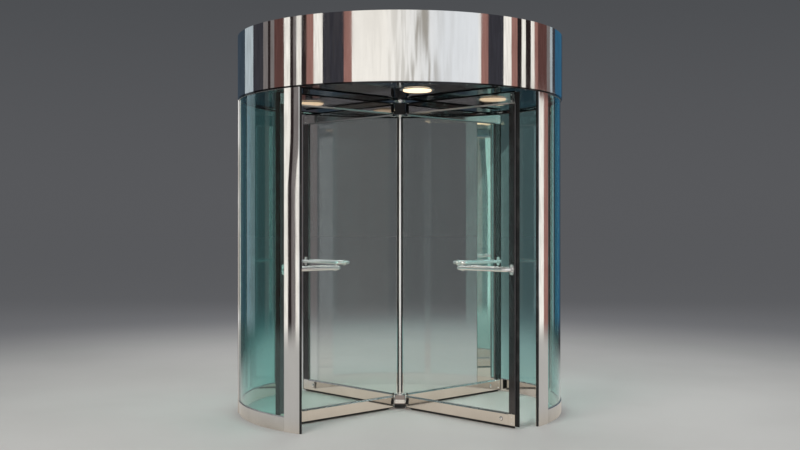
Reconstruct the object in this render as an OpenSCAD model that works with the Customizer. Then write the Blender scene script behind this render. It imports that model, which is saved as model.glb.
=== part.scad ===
// Four-wing revolving door: a mirror-polished drum canopy over curved glass walls, and a rotor whose
// glass wings turn on a thin centre shaft and can fold together like a book.
// Millimetres, Z up. The origin is on the floor at the drum's centre, and the front entry faces -Y.

/* [Drum] */
// Clear diameter between the curved side walls
inside_d = 2500; // [2100:1:2900]
// Clear height from the floor to the canopy's lower lip
clear_h = 2440; // [2200:5:2700]
// Radial depth from the clear diameter to the outside of the canopy and the wall-plane posts
wall_depth = 35; // [34:1:60]
// Angle from an entry's centre line to the edge of an entry post
entry_half_angle = 43; // [40:0.5:45]
// Radial depth of the entry posts
post_depth = 30; // [28:1:32]
// Width of the curved entry posts along the wall
post_w = 145; // [80:1:180]
// Width of the wall-plane posts along the wall
wall_post_w = 52; // [44:1:80]
// Radius on the long edges of the wall-plane posts
post_edge_r = 4; // [1:0.5:6]
// Width of the small flats along the edges of the entry posts
post_flat = 3; // [1:0.5:5]
// How far a rubber edge guard stands out from its post
guard_out = 10; // [10:1:14]
// Radial width of a rubber edge guard
guard_w = 16; // [10:1:18]

/* [Curved walls] */
// Thickness of the curved glass
wall_glass_t = 12; // [8:1:13]
// How deep glass sits in posts, rails and stiles
seat_d = 14; // [8:0.5:15]
// Height of the curved base rails
base_h = 107; // [60:1:160]
// Radial depth of the curved base rails
base_depth = 26; // [26:1:28]
// Height of the recessed toe under the base rails
toe_h = 8; // [4:1:16]
// Depth of the recessed toe under the base rails
toe_d = 4; // [2:1:6]
// Height and depth of the sloped glazing beads
bead = 6; // [3:0.5:6]

/* [Canopy] */
// Height of the canopy's polished band
canopy_h = 486; // [250:1:700]
// Sheet thickness of the canopy band and its flanges
skin_t = 3; // [2:0.5:6]
// Height of the dark lip under the canopy band
lip_h = 12; // [11:1:30]
// Inset of the lip from the outside of the canopy band
lip_inset = 4; // [2:1:8]
// How deep the curved glass sits in the lip
lip_seat = 8; // [4:0.5:9]
// Width of the flange that carries the canopy's cover
cover_flange = 40; // [25:1:60]
// Depth of the cover's seat below the canopy's top edge
cover_drop = 15; // [8:1:40]
// Thickness of the cover
cover_t = 6; // [3:1:8]
// Thickness of the ceiling panel
ceiling_t = 18; // [12:1:30]
// Radius of the circle that the downlights sit on
downlight_pcd_r = 770; // [500:5:850]
// Radius of a downlight's opening
downlight_r = 116; // [80:1:120]
// Width of a downlight's visible trim
trim_w = 10; // [6:1:16]
// Height of a downlight's barrel above the ceiling's underside
barrel_h = 42; // [34:1:60]
// How far a downlight's lens hangs below the ceiling's underside
lens_drop = 12; // [8:0.5:12]
// Thickness of the rim that carries a downlight's lens
lens_t = 6; // [3:1:8]
// Radius on the lower edge of a downlight's lens
lens_edge_r = 7; // [2:0.5:8]

/* [Rotor] */
// Turn of the wings from the symmetric X, seen from above
wing_turn = -10.5; // [-20:0.5:20]
// Radius of the centre shaft
shaft_r = 18; // [14:0.5:20]
// Width of the seals beside the shaft
seal_w = 14; // [12:1:20]
// Thickness of the seals and sweeps
seal_t = 6; // [4:0.5:8]
// Gap between the shaft's seals and the wing glass
tail_gap = 3; // [3:1:6]
// Distance from the shaft's axis to the wings' fold pivots
pivot_r = 95; // [90:1:110]
// Width of the square hub cores, whose faces look out between the wings
core_w = 84; // [60:1:88]
// Width of the arms that carry the fold pins
arm_w = 34; // [26:1:36]
// Thickness of the arms
arm_t = 6; // [4:1:7]
// Radius of the fold pins
pin_r = 8; // [6:0.5:9]
// How far the fold pins reach into the rails
pin_in = 40; // [25:1:60]
// Gap left between arms and rails, where the pins' collars sit
arm_gap = 5; // [5:0.5:6]
// Radius of the plate under the rotor
floor_plate_r = 60; // [50:1:90]
// Thickness of the plate under the rotor
floor_plate_t = 2.5; // [2:0.5:3]
// Height of the spindle that the shaft turns on
spindle_h = 40; // [25:1:60]
// Radius of the bearing collar at the ceiling
collar_r = 48; // [36:1:70]
// Height of the bearing collar at the ceiling
collar_h = 9; // [6:1:10]

/* [Wings] */
// Running gap between the wings' edge strips and the curved walls
wing_gap = 12; // [8:1:20]
// Gap between the floor and the bottom rails
floor_gap = 15; // [14:1:20]
// Gap between the canopy's lip and the top rails
top_gap = 13; // [13:1:20]
// Thickness of the wing glass
glass_t = 12; // [8:1:14]
// Thickness of the rails
rail_t = 38; // [34:1:38]
// Height of the bottom rails
bottom_rail_h = 92; // [70:1:130]
// Height of the top rails
top_rail_h = 82; // [60:1:110]
// Depth of the sloped edge of the rails beside the glass
rail_slope = 9; // [4:1:11]
// Radial width of the outer stiles
stile_w = 62; // [44:1:80]
// Thickness of the outer stiles
stile_t = 30; // [26:1:32]
// Radius on the long edges of the stiles
stile_edge_r = 5; // [1:0.5:8]
// How far the outer edge strips stand out from the stiles
strip_out = 28; // [8:1:40]
// How deep the strips and sweeps sit in their grooves
strip_seat = 8; // [5:0.5:10]
// Gap between the sweeps and the floor or canopy
sweep_gap = 3; // [2:0.5:4]

/* [Push bars] */
// Height of the push bars above the floor
bar_z = 1145; // [950:5:1250]
// Radius of the push bar tube
bar_r = 15; // [12:0.5:17]
// Distance from a wing's middle plane to a push bar's axis
bar_offset = 68; // [60:1:70]
// Bend radius of a push bar's ends
bar_bend_r = 40; // [30:1:42]
// Distance between a push bar's two fixings
bar_len = 495; // [400:5:620]
// Radius of the rosette that fixes a push bar to the glass
rosette_r = 26; // [20:1:32]
// Height of the flange that fixes a push bar to the stile
flange_h = 76; // [60:1:100]
// Width of the flange that fixes a push bar to the stile
flange_w = 36; // [32:1:40]
// Thickness of the rosettes and flanges
fixing_t = 5; // [3:1:8]

/* [Output] */

/* [Hidden] */
$fn = 64;
round_fn = 180;
fit_gap = 0.3;
turn_gap = 1;
over = 1;
clear_gap = 6;
edge = 3;
arc = 180 / PI;

// Drum
inside_r = inside_d / 2;
canopy_r = inside_r + wall_depth;
wall_mid_r = inside_r + post_depth / 2;
glass_r0 = wall_mid_r - wall_glass_t / 2;
glass_r1 = wall_mid_r + wall_glass_t / 2;
side_half_angle = 90 - entry_half_angle;
glass_a0 = asin((wall_post_w / 2 - seat_d) / wall_mid_r);
post_a0 = side_half_angle - post_w / wall_mid_r * arc;
glass_a1 = post_a0 + seat_d / wall_mid_r * arc;
slack_a = fit_gap / wall_mid_r * arc;
glass_top = clear_h + lip_seat;

// Canopy
fascia_z = clear_h + lip_h;
canopy_top = fascia_z + canopy_h;
ceiling_z = fascia_z + skin_t;
skin_in_r = canopy_r - skin_t;
trim_t = 4;
barrel_t = 4;
lens_r = downlight_r - 3 * barrel_t;

// Wings
wing_r = inside_r - wing_gap;
stile_r1 = wing_r - strip_out;
stile_r0 = stile_r1 - stile_w;
stile_mid = (stile_r0 + stile_r1) / 2;
low_z0 = floor_gap;
low_z1 = low_z0 + bottom_rail_h;
high_z1 = clear_h - top_gap;
high_z0 = high_z1 - top_rail_h;
block_slope = (rail_t - stile_t) / 2;
joint_w = 2;
tail_r = shaft_r + seal_w + tail_gap;
heel_in = 7;
heel_r = pivot_r - rail_t / 2 + heel_in;
sweep_r = pivot_r + arm_w / 2 + 2 * clear_gap;

// Rotor
hub_z0 = low_z0 - arm_gap - arm_t;
hub_z1 = high_z1 + arm_gap - 1;
pin_collar_w = 4;
shaft_collar_h = 12;
shaft_collar_w = 11;
shaft_collar_r = shaft_r + shaft_collar_w;
shaft_wall = 6;
spindle_r = shaft_r - shaft_wall;
shaft_top = ceiling_z + ceiling_t + shaft_collar_h;

// Revolves a profile of radius and height about Z, from angle a0 to a1.
module revolve(a0, a1) {
  rotate([0, 0, a0])
    rotate_extrude(angle = a1 - a0, $fn = round_fn)
      children();
}

// A block between two radii and two heights, from angle a0 to a1.
module arc_block(r0, r1, z0, z1, a0, a1) {
  revolve(a0, a1)
    translate([r0, z0])
      square([r1 - r0, z1 - z0]);
}

// A rectangle with a corner at the origin and all four corners rounded.
module soft_rect(w, h, r) {
  translate([r, 0])
    square([w - 2 * r, h]);
  translate([0, r])
    square([w, h - 2 * r]);
  for (x = [r, w - r])
    for (y = [r, h - r])
      translate([x, y])
        circle(r = r);
}

// Draws its children and their mirror image at -X.
module left_and_right() {
  children();
  mirror([1, 0, 0])
    children();
}

// Canopy

// Section of the sheet band: skin, bottom flange out to the clear diameter, and the cover's flange.
module fascia_section() {
  seat = canopy_top - cover_drop;
  polygon([
    [inside_r, fascia_z], [canopy_r, fascia_z], [canopy_r, canopy_top], [skin_in_r, canopy_top],
    [skin_in_r, seat], [skin_in_r - cover_flange, seat], [skin_in_r - cover_flange, seat - skin_t],
    [skin_in_r, seat - skin_t], [skin_in_r, ceiling_z], [inside_r, ceiling_z]
  ]);
}

module canopy_fascia_front() {
  color("silver")
    revolve(180, 360)
      fascia_section();
}

module canopy_fascia_rear() {
  color("silver")
    revolve(0, 180)
      fascia_section();
}

module canopy_cover() {
  color("dimgray")
    translate([0, 0, canopy_top - cover_drop])
      cylinder(r = skin_in_r - fit_gap, h = cover_t, $fn = round_fn);
}

// The glass's pocket in one quarter of the walls: it runs into the base rail, both posts and the lip.
module glass_pocket() {
  arc_block(glass_r0 - fit_gap, glass_r1 + fit_gap, base_h - seat_d - fit_gap, glass_top + fit_gap,
    glass_a0 - slack_a, glass_a1 + slack_a);
}

module glass_pockets() {
  for (m = [0, 1])
    for (n = [0, 1])
      mirror([m, 0, 0])
        mirror([0, n, 0])
          glass_pocket();
}

module canopy_lip() {
  color([0.1, 0.1, 0.11])
    difference() {
      revolve(0, 360)
        polygon([
          [inside_r, clear_h + edge], [inside_r + edge, clear_h], [canopy_r - lip_inset - edge, clear_h],
          [canopy_r - lip_inset, clear_h + edge], [canopy_r - lip_inset, fascia_z], [inside_r, fascia_z]
        ]);
      glass_pockets();
    }
}

// Places its children at each downlight.
module at_downlights() {
  for (k = [0:3])
    rotate([0, 0, 90 * k])
      translate([downlight_pcd_r, 0, ceiling_z])
        children();
}

module ceiling_panel() {
  color([0.12, 0.12, 0.13])
    difference() {
      translate([0, 0, ceiling_z])
        cylinder(r = skin_in_r - fit_gap, h = ceiling_t, $fn = round_fn);
      translate([0, 0, ceiling_z - over])
        cylinder(r = shaft_r + 4 * turn_gap, h = ceiling_t + 2 * over);
      at_downlights()
        translate([0, 0, -over])
          cylinder(r = downlight_r + fit_gap, h = ceiling_t + 2 * over);
    }
}

// A flanged ring with a barrel above the ceiling and an inner lip that the lens's rim rests on.
module downlight_trims() {
  color("silver")
    at_downlights()
      rotate_extrude()
        polygon([
          [lens_r, -trim_t], [downlight_r + trim_w - trim_t / 2, -trim_t],
          [downlight_r + trim_w, -trim_t / 2], [downlight_r + trim_w, 0], [downlight_r, 0],
          [downlight_r, barrel_h], [downlight_r - barrel_t, barrel_h], [downlight_r - barrel_t, 0],
          [lens_r, 0]
        ]);
}

// A lens with a soft lower edge that hangs through its trim from a wider rim.
module downlight_lenses() {
  body_r = lens_r - fit_gap;
  color([1, 0.9, 0.7])
    at_downlights()
      rotate_extrude() {
        square([downlight_r - barrel_t - fit_gap, lens_t]);
        translate([0, lens_edge_r - lens_drop])
          square([body_r, lens_drop - lens_edge_r]);
        translate([0, -lens_drop])
          square([body_r - lens_edge_r, lens_drop]);
        translate([body_r - lens_edge_r, lens_edge_r - lens_drop])
          circle(r = lens_edge_r);
      }
}

// Posts and curved walls

// A prism that takes the two long edges off the end of a wall that stops at angle 0, seen from above.
module edge_cut() {
  rim = post_flat + over;
  for (side = [[inside_r, 1], [inside_r + post_depth, -1]])
    translate([side[0], 0, -over])
      linear_extrude(clear_h + 2 * over)
        polygon([[side[1] * rim, over], [-side[1] * over, over], [-side[1] * over, -rim]]);
}

// The curved entry post of the +X +Y quarter, from the end of the glass to the edge of the entry.
module entry_post() {
  difference() {
    arc_block(inside_r, inside_r + post_depth, 0, clear_h, post_a0, side_half_angle);
    rotate([0, 0, side_half_angle])
      edge_cut();
    rotate([0, 0, post_a0])
      mirror([0, 1, 0])
        edge_cut();
    glass_pocket();
  }
}

module rear_posts() {
  color("silver")
    left_and_right()
      entry_post();
}

module front_posts() {
  color("silver")
    mirror([0, 1, 0])
      left_and_right()
        entry_post();
}

module wall_posts() {
  color("silver")
    difference() {
      left_and_right()
        translate([inside_r, -wall_post_w / 2, 0])
          linear_extrude(clear_h)
            soft_rect(wall_depth, wall_post_w, post_edge_r);
      glass_pockets();
    }
}

// A D-shaped rubber guard down the entry edge of each entry post.
module edge_guards() {
  color([0.05, 0.05, 0.05])
    for (m = [0, 1])
      mirror([0, m, 0])
        left_and_right()
          rotate([0, 0, side_half_angle])
            translate([wall_mid_r, 0, 0])
              linear_extrude(clear_h) {
                translate([-guard_w / 2, 0])
                  square([guard_w, guard_out - guard_w / 2]);
                intersection() {
                  translate([0, guard_out - guard_w / 2])
                    circle(r = guard_w / 2);
                  translate([-guard_w / 2, 0])
                    square([guard_w, guard_out]);
                }
              }
}

// The glass of the +X +Y quarter.
module wall_glass() {
  arc_block(glass_r0, glass_r1, base_h - seat_d, glass_top, glass_a0, glass_a1);
}

module rear_wall_glass() {
  color([0.6, 0.8, 0.75, 0.4])
    left_and_right()
      wall_glass();
}

module front_wall_glass() {
  color([0.6, 0.8, 0.75, 0.4])
    mirror([0, 1, 0])
      left_and_right()
        wall_glass();
}

// The base rail of the +X +Y quarter: a toe recess, sloped beads beside the glass and its pocket.
module base_rail() {
  half = base_depth / 2;
  lip_r = wall_glass_t / 2 + fit_gap;
  difference() {
    revolve(0, post_a0)
      translate([wall_mid_r, 0])
        polygon([
          [toe_d - half, 0], [half - toe_d, 0], [half - toe_d, toe_h], [half, toe_h], [half, base_h - bead],
          [half - bead, base_h], [bead - half, base_h], [-half, base_h - bead], [-half, toe_h],
          [toe_d - half, toe_h]
        ]);
    arc_block(wall_mid_r - lip_r, wall_mid_r + lip_r, base_h - seat_d - fit_gap, base_h + over,
      0, side_half_angle);
    translate([inside_r - over, -wall_post_w / 2, -over])
      cube([wall_depth + 2 * over, wall_post_w, base_h + 2 * over]);
  }
}

module rear_base_rails() {
  color("silver")
    left_and_right()
      base_rail();
}

module front_base_rails() {
  color("silver")
    mirror([0, 1, 0])
      left_and_right()
        base_rail();
}

// Rotor

// The floor plate with the spindle that the shaft turns on, and the collar at the ceiling.
module rotor_bearings() {
  color("silver") {
    rotate_extrude()
      polygon([
        [0, 0], [floor_plate_r, 0], [floor_plate_r - floor_plate_t, floor_plate_t],
        [spindle_r, floor_plate_t], [spindle_r, spindle_h - edge], [spindle_r - edge, spindle_h],
        [0, spindle_h]
      ]);
    translate([0, 0, ceiling_z - collar_h])
      rotate_extrude()
        polygon([
          [shaft_r + turn_gap, 0], [collar_r - edge, 0], [collar_r, edge], [collar_r, collar_h],
          [shaft_r + turn_gap, collar_h]
        ]);
  }
}

// The shaft with a collar against each hub core and a bore for the spindle.
module centre_shaft() {
  color("silver")
    rotate_extrude()
      polygon([
        [spindle_r + fit_gap, hub_z0], [shaft_r, hub_z0], [shaft_r, low_z1], [shaft_collar_r, low_z1],
        [shaft_collar_r, low_z1 + shaft_collar_h - edge], [shaft_collar_r - edge, low_z1 + shaft_collar_h],
        [shaft_r, low_z1 + shaft_collar_h], [shaft_r, high_z0 - shaft_collar_h],
        [shaft_collar_r - edge, high_z0 - shaft_collar_h],
        [shaft_collar_r, high_z0 - shaft_collar_h + edge], [shaft_collar_r, high_z0], [shaft_r, high_z0],
        [shaft_r, shaft_top], [0, shaft_top], [0, spindle_h + edge], [spindle_r + fit_gap, spindle_h + edge]
      ]);
}

// Turns its children to the direction of wing k, counted anticlockwise from the front right one.
module at_wing(k) {
  rotate([0, 0, wing_turn - 45 + 90 * k])
    children();
}

module at_wings() {
  for (k = [0:3])
    at_wing(k)
      children();
}

module shaft_seals() {
  z0 = low_z1 + shaft_collar_h + clear_gap;
  z1 = high_z0 - shaft_collar_h - clear_gap;
  color([0.05, 0.05, 0.05])
    at_wings()
      difference() {
        translate([0, -seal_t / 2, z0])
          cube([shaft_r + seal_w, seal_t, z1 - z0]);
        translate([0, 0, z0 - over])
          cylinder(r = shaft_r + fit_gap, h = z1 - z0 + 2 * over);
      }
}

// A square core round the shaft with four arms that carry the fold pins. The arms lie at the outer end.
module hub(core_h) {
  difference() {
    union() {
      rotate([0, 0, wing_turn])
        translate([-core_w / 2, -core_w / 2, 0])
          linear_extrude(core_h)
            soft_rect(core_w, core_w, edge);
      linear_extrude(arm_t)
        at_wings() {
          translate([0, -arm_w / 2])
            square([pivot_r, arm_w]);
          translate([pivot_r, 0])
            circle(d = arm_w);
        }
    }
    translate([0, 0, -over])
      cylinder(r = shaft_r + fit_gap, h = core_h + 2 * over);
  }
}

module bottom_hub() {
  color("silver")
    translate([0, 0, hub_z0])
      hub(low_z1 - hub_z0);
}

module top_hub() {
  color([0.1, 0.1, 0.1])
    translate([0, 0, hub_z1 + arm_t])
      mirror([0, 0, 1])
        hub(hub_z1 + arm_t - high_z0);
}

// A pin with a thrust collar that fills the gap between an arm and a rail.
module fold_pin(gap) {
  rotate_extrude()
    polygon([
      [0, 0], [pin_r + pin_collar_w, 0], [pin_r + pin_collar_w, gap - fit_gap], [pin_r, gap - fit_gap],
      [pin_r, gap + pin_in], [0, gap + pin_in]
    ]);
}

module fold_pins() {
  color("gray")
    at_wings()
      translate([pivot_r, 0, 0]) {
        translate([0, 0, hub_z0 + arm_t])
          fold_pin(arm_gap);
        translate([0, 0, hub_z1])
          mirror([0, 0, 1])
            fold_pin(hub_z1 - high_z1);
      }
}

// Wings, each drawn along +X at its own distance from the shaft

// The glass, with its inner corners cut away over the hub cores.
module wing_glass() {
  heel_z0 = low_z1 + clear_gap;
  heel_z1 = high_z0 - clear_gap;
  color([0.6, 0.8, 0.75, 0.4])
    translate([0, glass_t / 2, 0])
      rotate([90, 0, 0])
        linear_extrude(glass_t)
          polygon([
            [tail_r, heel_z0], [heel_r, heel_z0], [heel_r, low_z1 - seat_d],
            [stile_r0 + seat_d, low_z1 - seat_d], [stile_r0 + seat_d, high_z0 + seat_d],
            [heel_r, high_z0 + seat_d], [heel_r, heel_z1], [tail_r, heel_z1]
          ]);
}

// Half the section of a rail of height h, with its top edge sloped over a width s.
module half_rail(h, s) {
  polygon([
    [0, 0], [rail_t / 2 - edge, 0], [rail_t / 2, edge], [rail_t / 2, h - s],
    [rail_t / 2 - s, h], [0, h]
  ]);
}

// A straight run of the rail's section along +X, from x0 to x1.
module rail_run(x0, x1, h, s) {
  translate([x0, 0, 0])
    rotate([90, 0, 90])
      linear_extrude(x1 - x0) {
        half_rail(h, s);
        mirror([1, 0])
          half_rail(h, s);
      }
}

// A rail of height h that stands on z = 0 with its glass edge on top: a rounded pivot end, the sloped run
// beside the glass, and an end block under the stile with a joint line on both faces.
module rail(h) {
  difference() {
    union() {
      rail_run(pivot_r, stile_r0, h, rail_slope);
      rail_run(stile_r0, stile_r1, h, block_slope);
      translate([pivot_r, 0, 0])
        rotate_extrude()
          half_rail(h, rail_slope);
    }
    for (side = [-1, 1])
      translate([stile_r0 - joint_w, side * rail_t / 2 - joint_w / 2, -over])
        cube([joint_w, joint_w, h + 2 * over]);
    translate([0, -glass_t / 2 - fit_gap, h - seat_d - fit_gap])
      cube([stile_r0 + seat_d + fit_gap, glass_t + 2 * fit_gap, seat_d + over + fit_gap]);
    translate([sweep_r - fit_gap, -seal_t / 2 - fit_gap, -over])
      cube([stile_r1 - sweep_r, seal_t + 2 * fit_gap, strip_seat + fit_gap + over]);
    translate([stile_r1 - strip_seat - fit_gap, -seal_t / 2 - fit_gap, -over])
      cube([strip_seat + fit_gap + over, seal_t + 2 * fit_gap, h + 2 * over]);
    translate([pivot_r, 0, -over])
      cylinder(r = pin_r + fit_gap, h = pin_in + fit_gap + over);
  }
}

module wing_bottom_rail() {
  color("silver")
    translate([0, 0, low_z0])
      rail(bottom_rail_h);
}

module wing_top_rail() {
  color("silver")
    translate([0, 0, high_z1])
      mirror([0, 0, 1])
        rail(top_rail_h);
}

// The outer stile between the rails' end blocks, grooved for the glass on one edge and for the strip on
// the other.
module wing_stile() {
  groove_h = high_z0 - low_z1 + 2 * over;
  color([0.07, 0.07, 0.07])
    difference() {
      translate([stile_r0, -stile_t / 2, low_z1])
        linear_extrude(high_z0 - low_z1)
          soft_rect(stile_w, stile_t, stile_edge_r);
      translate([stile_r0 - over, -glass_t / 2 - fit_gap, low_z1 - over])
        cube([seat_d + fit_gap + over, glass_t + 2 * fit_gap, groove_h]);
      translate([stile_r1 - strip_seat - fit_gap, -seal_t / 2 - fit_gap, low_z1 - over])
        cube([strip_seat + fit_gap + over, seal_t + 2 * fit_gap, groove_h]);
    }
}

// Rubber strips: one down the outer edge, one along the floor and one along the canopy.
module wing_sweeps() {
  end_r = stile_r1 - strip_seat - clear_gap;
  color([0.05, 0.05, 0.05]) {
    translate([stile_r1 - strip_seat, 0, low_z0])
      linear_extrude(high_z1 - low_z0)
        polygon([
          [0, -seal_t / 2], [strip_seat, -seal_t / 2], [strip_seat + strip_out, -seal_t / 3],
          [strip_seat + strip_out, seal_t / 3], [strip_seat, seal_t / 2], [0, seal_t / 2]
        ]);
    for (span = [[sweep_gap, low_z0 + strip_seat], [high_z1 - strip_seat, clear_h - sweep_gap]])
      translate([sweep_r, -seal_t / 2, span[0]])
        cube([end_r - sweep_r, seal_t, span[1] - span[0]]);
  }
}

// A bent tube with its ends turned in: one to a rosette on the glass, one to a flange on the stile.
module push_bar() {
  x0 = stile_mid - bar_len;
  x1 = stile_mid;
  translate([0, 0, bar_z]) {
    translate([x0 + bar_bend_r, bar_offset, 0])
      rotate([0, 90, 0])
        cylinder(r = bar_r, h = bar_len - 2 * bar_bend_r);
    translate([x0 + bar_bend_r, bar_offset - bar_bend_r, 0])
      rotate([0, 0, 90])
        rotate_extrude(angle = 90)
          translate([bar_bend_r, 0])
            circle(r = bar_r);
    translate([x1 - bar_bend_r, bar_offset - bar_bend_r, 0])
      rotate_extrude(angle = 90)
        translate([bar_bend_r, 0])
          circle(r = bar_r);
    translate([x0, glass_t / 2, 0])
      rotate([-90, 0, 0]) {
        cylinder(r = bar_r, h = bar_offset - bar_bend_r - glass_t / 2);
        cylinder(r1 = rosette_r, r2 = rosette_r - edge, h = fixing_t);
      }
    translate([x1, stile_t / 2, 0])
      rotate([-90, 0, 0])
        cylinder(r = bar_r, h = bar_offset - bar_bend_r - stile_t / 2);
    translate([x1 - flange_w / 2, stile_t / 2 + fixing_t, -flange_h / 2])
      rotate([90, 0, 0])
        linear_extrude(fixing_t)
          soft_rect(flange_w, flange_h, flange_w / 3);
  }
}

module wing_push_bars() {
  color("silver") {
    push_bar();
    mirror([0, 1, 0])
      push_bar();
  }
}

module wing_front_right_glass() { at_wing(0) wing_glass(); }
module wing_front_right_top_rail() { at_wing(0) wing_top_rail(); }
module wing_front_right_bottom_rail() { at_wing(0) wing_bottom_rail(); }
module wing_front_right_stile() { at_wing(0) wing_stile(); }
module wing_front_right_sweeps() { at_wing(0) wing_sweeps(); }
module wing_front_right_push_bars() { at_wing(0) wing_push_bars(); }
module wing_rear_right_glass() { at_wing(1) wing_glass(); }
module wing_rear_right_top_rail() { at_wing(1) wing_top_rail(); }
module wing_rear_right_bottom_rail() { at_wing(1) wing_bottom_rail(); }
module wing_rear_right_stile() { at_wing(1) wing_stile(); }
module wing_rear_right_sweeps() { at_wing(1) wing_sweeps(); }
module wing_rear_right_push_bars() { at_wing(1) wing_push_bars(); }
module wing_rear_left_glass() { at_wing(2) wing_glass(); }
module wing_rear_left_top_rail() { at_wing(2) wing_top_rail(); }
module wing_rear_left_bottom_rail() { at_wing(2) wing_bottom_rail(); }
module wing_rear_left_stile() { at_wing(2) wing_stile(); }
module wing_rear_left_sweeps() { at_wing(2) wing_sweeps(); }
module wing_rear_left_push_bars() { at_wing(2) wing_push_bars(); }
module wing_front_left_glass() { at_wing(3) wing_glass(); }
module wing_front_left_top_rail() { at_wing(3) wing_top_rail(); }
module wing_front_left_bottom_rail() { at_wing(3) wing_bottom_rail(); }
module wing_front_left_stile() { at_wing(3) wing_stile(); }
module wing_front_left_sweeps() { at_wing(3) wing_sweeps(); }
module wing_front_left_push_bars() { at_wing(3) wing_push_bars(); }

canopy_fascia_front();
canopy_fascia_rear();
canopy_cover();
canopy_lip();
ceiling_panel();
downlight_trims();
downlight_lenses();
rotor_bearings();
front_posts();
wall_posts();
rear_posts();
edge_guards();
front_wall_glass();
rear_wall_glass();
front_base_rails();
rear_base_rails();
centre_shaft();
shaft_seals();
bottom_hub();
top_hub();
fold_pins();
wing_front_right_glass();
wing_front_right_top_rail();
wing_front_right_bottom_rail();
wing_front_right_stile();
wing_front_right_sweeps();
wing_front_right_push_bars();
wing_rear_right_glass();
wing_rear_right_top_rail();
wing_rear_right_bottom_rail();
wing_rear_right_stile();
wing_rear_right_sweeps();
wing_rear_right_push_bars();
wing_rear_left_glass();
wing_rear_left_top_rail();
wing_rear_left_bottom_rail();
wing_rear_left_stile();
wing_rear_left_sweeps();
wing_rear_left_push_bars();
wing_front_left_glass();
wing_front_left_top_rail();
wing_front_left_bottom_rail();
wing_front_left_stile();
wing_front_left_sweeps();
wing_front_left_push_bars();
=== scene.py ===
"""Finishes, glazing gaskets, fasteners and light for a four-wing revolving door.

Metres, +Z up, the origin on the floor at the drum's centre, the front entry towards -Y.
"""

import math

import bpy
import numpy as np
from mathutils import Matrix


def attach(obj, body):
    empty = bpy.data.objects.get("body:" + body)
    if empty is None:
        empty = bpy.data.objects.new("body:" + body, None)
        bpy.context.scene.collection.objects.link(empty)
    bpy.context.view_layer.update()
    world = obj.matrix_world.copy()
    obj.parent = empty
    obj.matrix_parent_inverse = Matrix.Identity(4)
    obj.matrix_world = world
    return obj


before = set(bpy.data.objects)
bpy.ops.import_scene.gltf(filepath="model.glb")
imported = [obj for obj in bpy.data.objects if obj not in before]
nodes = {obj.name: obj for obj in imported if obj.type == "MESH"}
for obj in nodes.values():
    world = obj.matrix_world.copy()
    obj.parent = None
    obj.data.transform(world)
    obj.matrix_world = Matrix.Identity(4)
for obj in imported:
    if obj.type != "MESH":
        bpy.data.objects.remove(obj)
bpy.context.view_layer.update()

# The part's own sizes, repeated here in metres and degrees.
INSIDE_R = 1.250
CANOPY_R = 1.285
WALL_MID_R = 1.265
CLEAR_H = 2.440
COVER_Z = 2.929
SIDE_HALF_ANGLE = 47.0
POST_W = 0.145
WALL_POST_W = 0.052
WALL_GLASS_T = 0.012
BASE_H = 0.107
PIVOT_R = 0.095
CORE_W = 0.084
LOW_Z0 = 0.015
LOW_Z1 = 0.107
HIGH_Z0 = 2.345
HIGH_Z1 = 2.427
RAIL_T = 0.038
GLASS_T = 0.012
STILE_R0 = 1.148
STILE_R1 = 1.210
STILE_T = 0.030
BAR_Z = 1.145
BAR_OUT = 1.179
FLANGE_H = 0.076
FIXING_T = 0.005
HUB_Z0 = 0.004
HUB_ARM_TOP = 2.437
ARM_T = 0.006
COLLAR_R = 0.048
COLLAR_Z = 2.446
WING_TURN = -10.5
WINGS = ("front_right", "rear_right", "rear_left", "front_left")

# The small pieces made here, in metres. A cap screw is the radius and height of its head.
BAR_SCREW = (0.0045, 0.0024)
BLOCK_SCREW = (0.0042, 0.0018)
PLATE_SCREW = (0.0045, 0.0020)
ARM_SCREW = (0.0045, 0.0028)
COLLAR_SCREW = (0.0040, 0.0022)
LIP_SCREW = (0.0040, 0.0016)
COVER_SCREW = (0.006, 0.003)
# The middle heights of the end blocks in a wing's bottom and top rails.
LOW_BLOCK_Z = LOW_Z0 + 0.046
HIGH_BLOCK_Z = HIGH_Z1 - 0.041
# Half the distance between two screws, and the distance from a screw to an edge.
BLOCK_SCREW_HALF = 0.022
PLATE_SCREW_HALF = 0.029
BAR_SCREW_INSET = 0.011
COLLAR_SCREW_INSET = 0.012
RIM_SCREW_INSET = 0.018
LIP_SCREW_R = INSIDE_R + 0.0155
# Where the screws round the bearing collar, the cover's rim and the lip over both entries lie, in degrees.
COLLAR_SCREW_ANGLES = [60.0 * k + 15.0 for k in range(6)]
RIM_SCREW_ANGLES = [18.0 * k + 9.0 for k in range(20)]
LIP_SCREW_ANGLES = [entry + 12.0 * step for entry in (-90.0, 90.0) for step in range(-3, 4)]
# The screws on the hubs' arms: height and radius.
LOW_ARM_SCREWS = [(HUB_Z0 + ARM_T, 0.067)]
HIGH_ARM_SCREWS = [(HUB_ARM_TOP, 0.052), (HUB_ARM_TOP, 0.068)]
# A lock in the bottom rail: how far out it is, the radius and height of its ring and its barrel, the length,
# width and height of its keyway, and how far the last two stand off the rail.
LOCK_R = 1.080
LOCK_SHADE_RING = (0.0155, 0.0020)
LOCK_BARREL = (0.0130, 0.0044)
LOCK_KEYWAY = (0.0085, 0.0018, 0.0048)
LOCK_SEAT = 0.0012
# The hubs' cover plates and rubber skirts: width, height, thickness and corner radius, then the heights of
# their middles.
HUB_PLATE = (0.078, 0.028, 0.0025, 0.004)
HUB_SKIRT = (0.080, 0.032, 0.0030, 0.002)
LOW_PLATE_Z = 0.058
HIGH_PLATE_Z = HIGH_Z0 + 0.018
SKIRT_Z = HUB_Z0 + 0.017
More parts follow.
